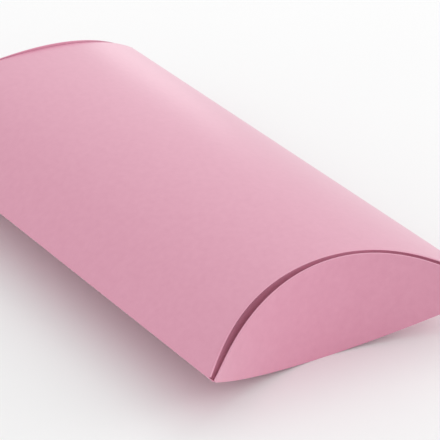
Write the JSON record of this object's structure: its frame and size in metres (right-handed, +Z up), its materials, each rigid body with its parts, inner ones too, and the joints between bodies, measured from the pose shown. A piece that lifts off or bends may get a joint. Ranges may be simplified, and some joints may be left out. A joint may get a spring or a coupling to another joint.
{
  "type": "favor box",
  "caption": "Pillow-shaped favor box of folded pink card, with a glued long seam and curved flaps that close each end.",
  "frame": {"origin": "on the resting plane, under the middle of the box", "axes": "+X along the box towards its front end, +Y across it towards the glued seam, +Z up"},
  "size_m": [0.2826, 0.1346, 0.0463],
  "materials": {
    "card": "soft satin pink card",
    "glue": "dried white glue"
  },
  "bodies": {
    "sleeve": {"top_panel": "card", "bottom_panel": "card", "side_fold": "card", "seam_fold": "card", "seam_flap": "card", "seam_glue": "glue", "front_upper_crease": "card", "front_lower_crease": "card", "rear_upper_crease": "card", "rear_lower_crease": "card"},
    "front_outer": {"front_outer_flap": "card"},
    "front_inner": {"front_inner_flap": "card"},
    "rear_outer": {"rear_outer_flap": "card"},
    "rear_inner": {"rear_inner_flap": "card"}
  },
  "joints": [
    {"name": "front_outer_hinge", "type": "hinge", "parent": "sleeve", "child": "front_outer", "pos_m": [0.11671, 0, 0], "axis": [0, 1, 0], "range_deg": [0, 90]},
    {"name": "front_inner_hinge", "type": "hinge", "parent": "sleeve", "child": "front_inner", "pos_m": [0.1165, 0, 0.04493], "axis": [0, -1, 0], "range_deg": [0, 54]},
    {"name": "rear_outer_hinge", "type": "hinge", "parent": "sleeve", "child": "rear_outer", "pos_m": [-0.11671, 0, 0], "axis": [0, -1, 0], "range_deg": [0, 90]},
    {"name": "rear_inner_hinge", "type": "hinge", "parent": "sleeve", "child": "rear_inner", "pos_m": [-0.1165, 0, 0.04493], "axis": [0, 1, 0], "range_deg": [0, 54]}
  ],
  "couplings": [
    {"joint": "front_inner_hinge", "follows": "front_outer_hinge", "ratio": 0.6},
    {"joint": "rear_inner_hinge", "follows": "rear_outer_hinge", "ratio": 0.6}
  ]
}
